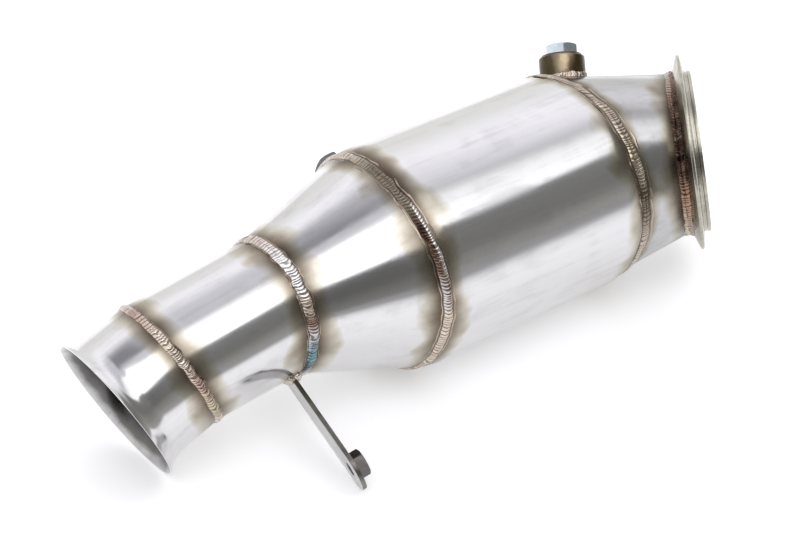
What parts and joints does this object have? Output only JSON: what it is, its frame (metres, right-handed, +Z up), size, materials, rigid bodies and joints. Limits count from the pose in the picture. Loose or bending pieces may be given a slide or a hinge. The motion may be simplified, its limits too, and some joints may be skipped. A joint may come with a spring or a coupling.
{
  "type": "turbo downpipe",
  "caption": "Welded steel exhaust pipe from a turbo: clamp flange, skewed transition, converter can with plugged sensor bosses, cone, flared outlet and side strip.",
  "frame": {"origin": "centre of the inlet mouth, at the end of the flange's locating lip", "axes": "+X along the can's axis from the outlet towards the inlet, +Z up as the part lies on a floor, +Y towards the side that the inlet turns away from"},
  "size_m": [0.4253, 0.1789, 0.1311],
  "materials": {
    "brushed_sheet": "brushed, straw tint beside the welds",
    "honeycomb_foil": "dull coated foil",
    "turned_steel": "turned",
    "weld_metal": "rippled, heat tinted",
    "boss_steel": "turned, heat darkened",
    "seal_metal": "dark, dull",
    "zinc_plate": "bright zinc plate",
    "strip_steel": "satin, with rough cut edges",
    "nut_steel": "dark phosphate"
  },
  "bodies": {
    "root": {"outlet_flare": "brushed_sheet", "outlet_pipe": "brushed_sheet", "reducer_cone": "brushed_sheet", "converter_can": "brushed_sheet", "catalyst_core": "honeycomb_foil", "inlet_transition": "brushed_sheet", "inlet_flange": "turned_steel", "weld_flare_pipe": "weld_metal", "weld_pipe_cone": "weld_metal", "weld_cone_can": "weld_metal", "weld_can_transition": "weld_metal", "weld_transition_flange": "weld_metal", "front_boss": "boss_steel", "front_boss_weld": "weld_metal", "front_washer": "seal_metal", "front_plug": "zinc_plate", "rear_boss": "boss_steel", "rear_boss_weld": "weld_metal", "rear_washer": "seal_metal", "rear_plug": "zinc_plate", "support_strip": "strip_steel", "strip_weld": "weld_metal", "strip_nut": "nut_steel"}
  },
  "joints": []
}
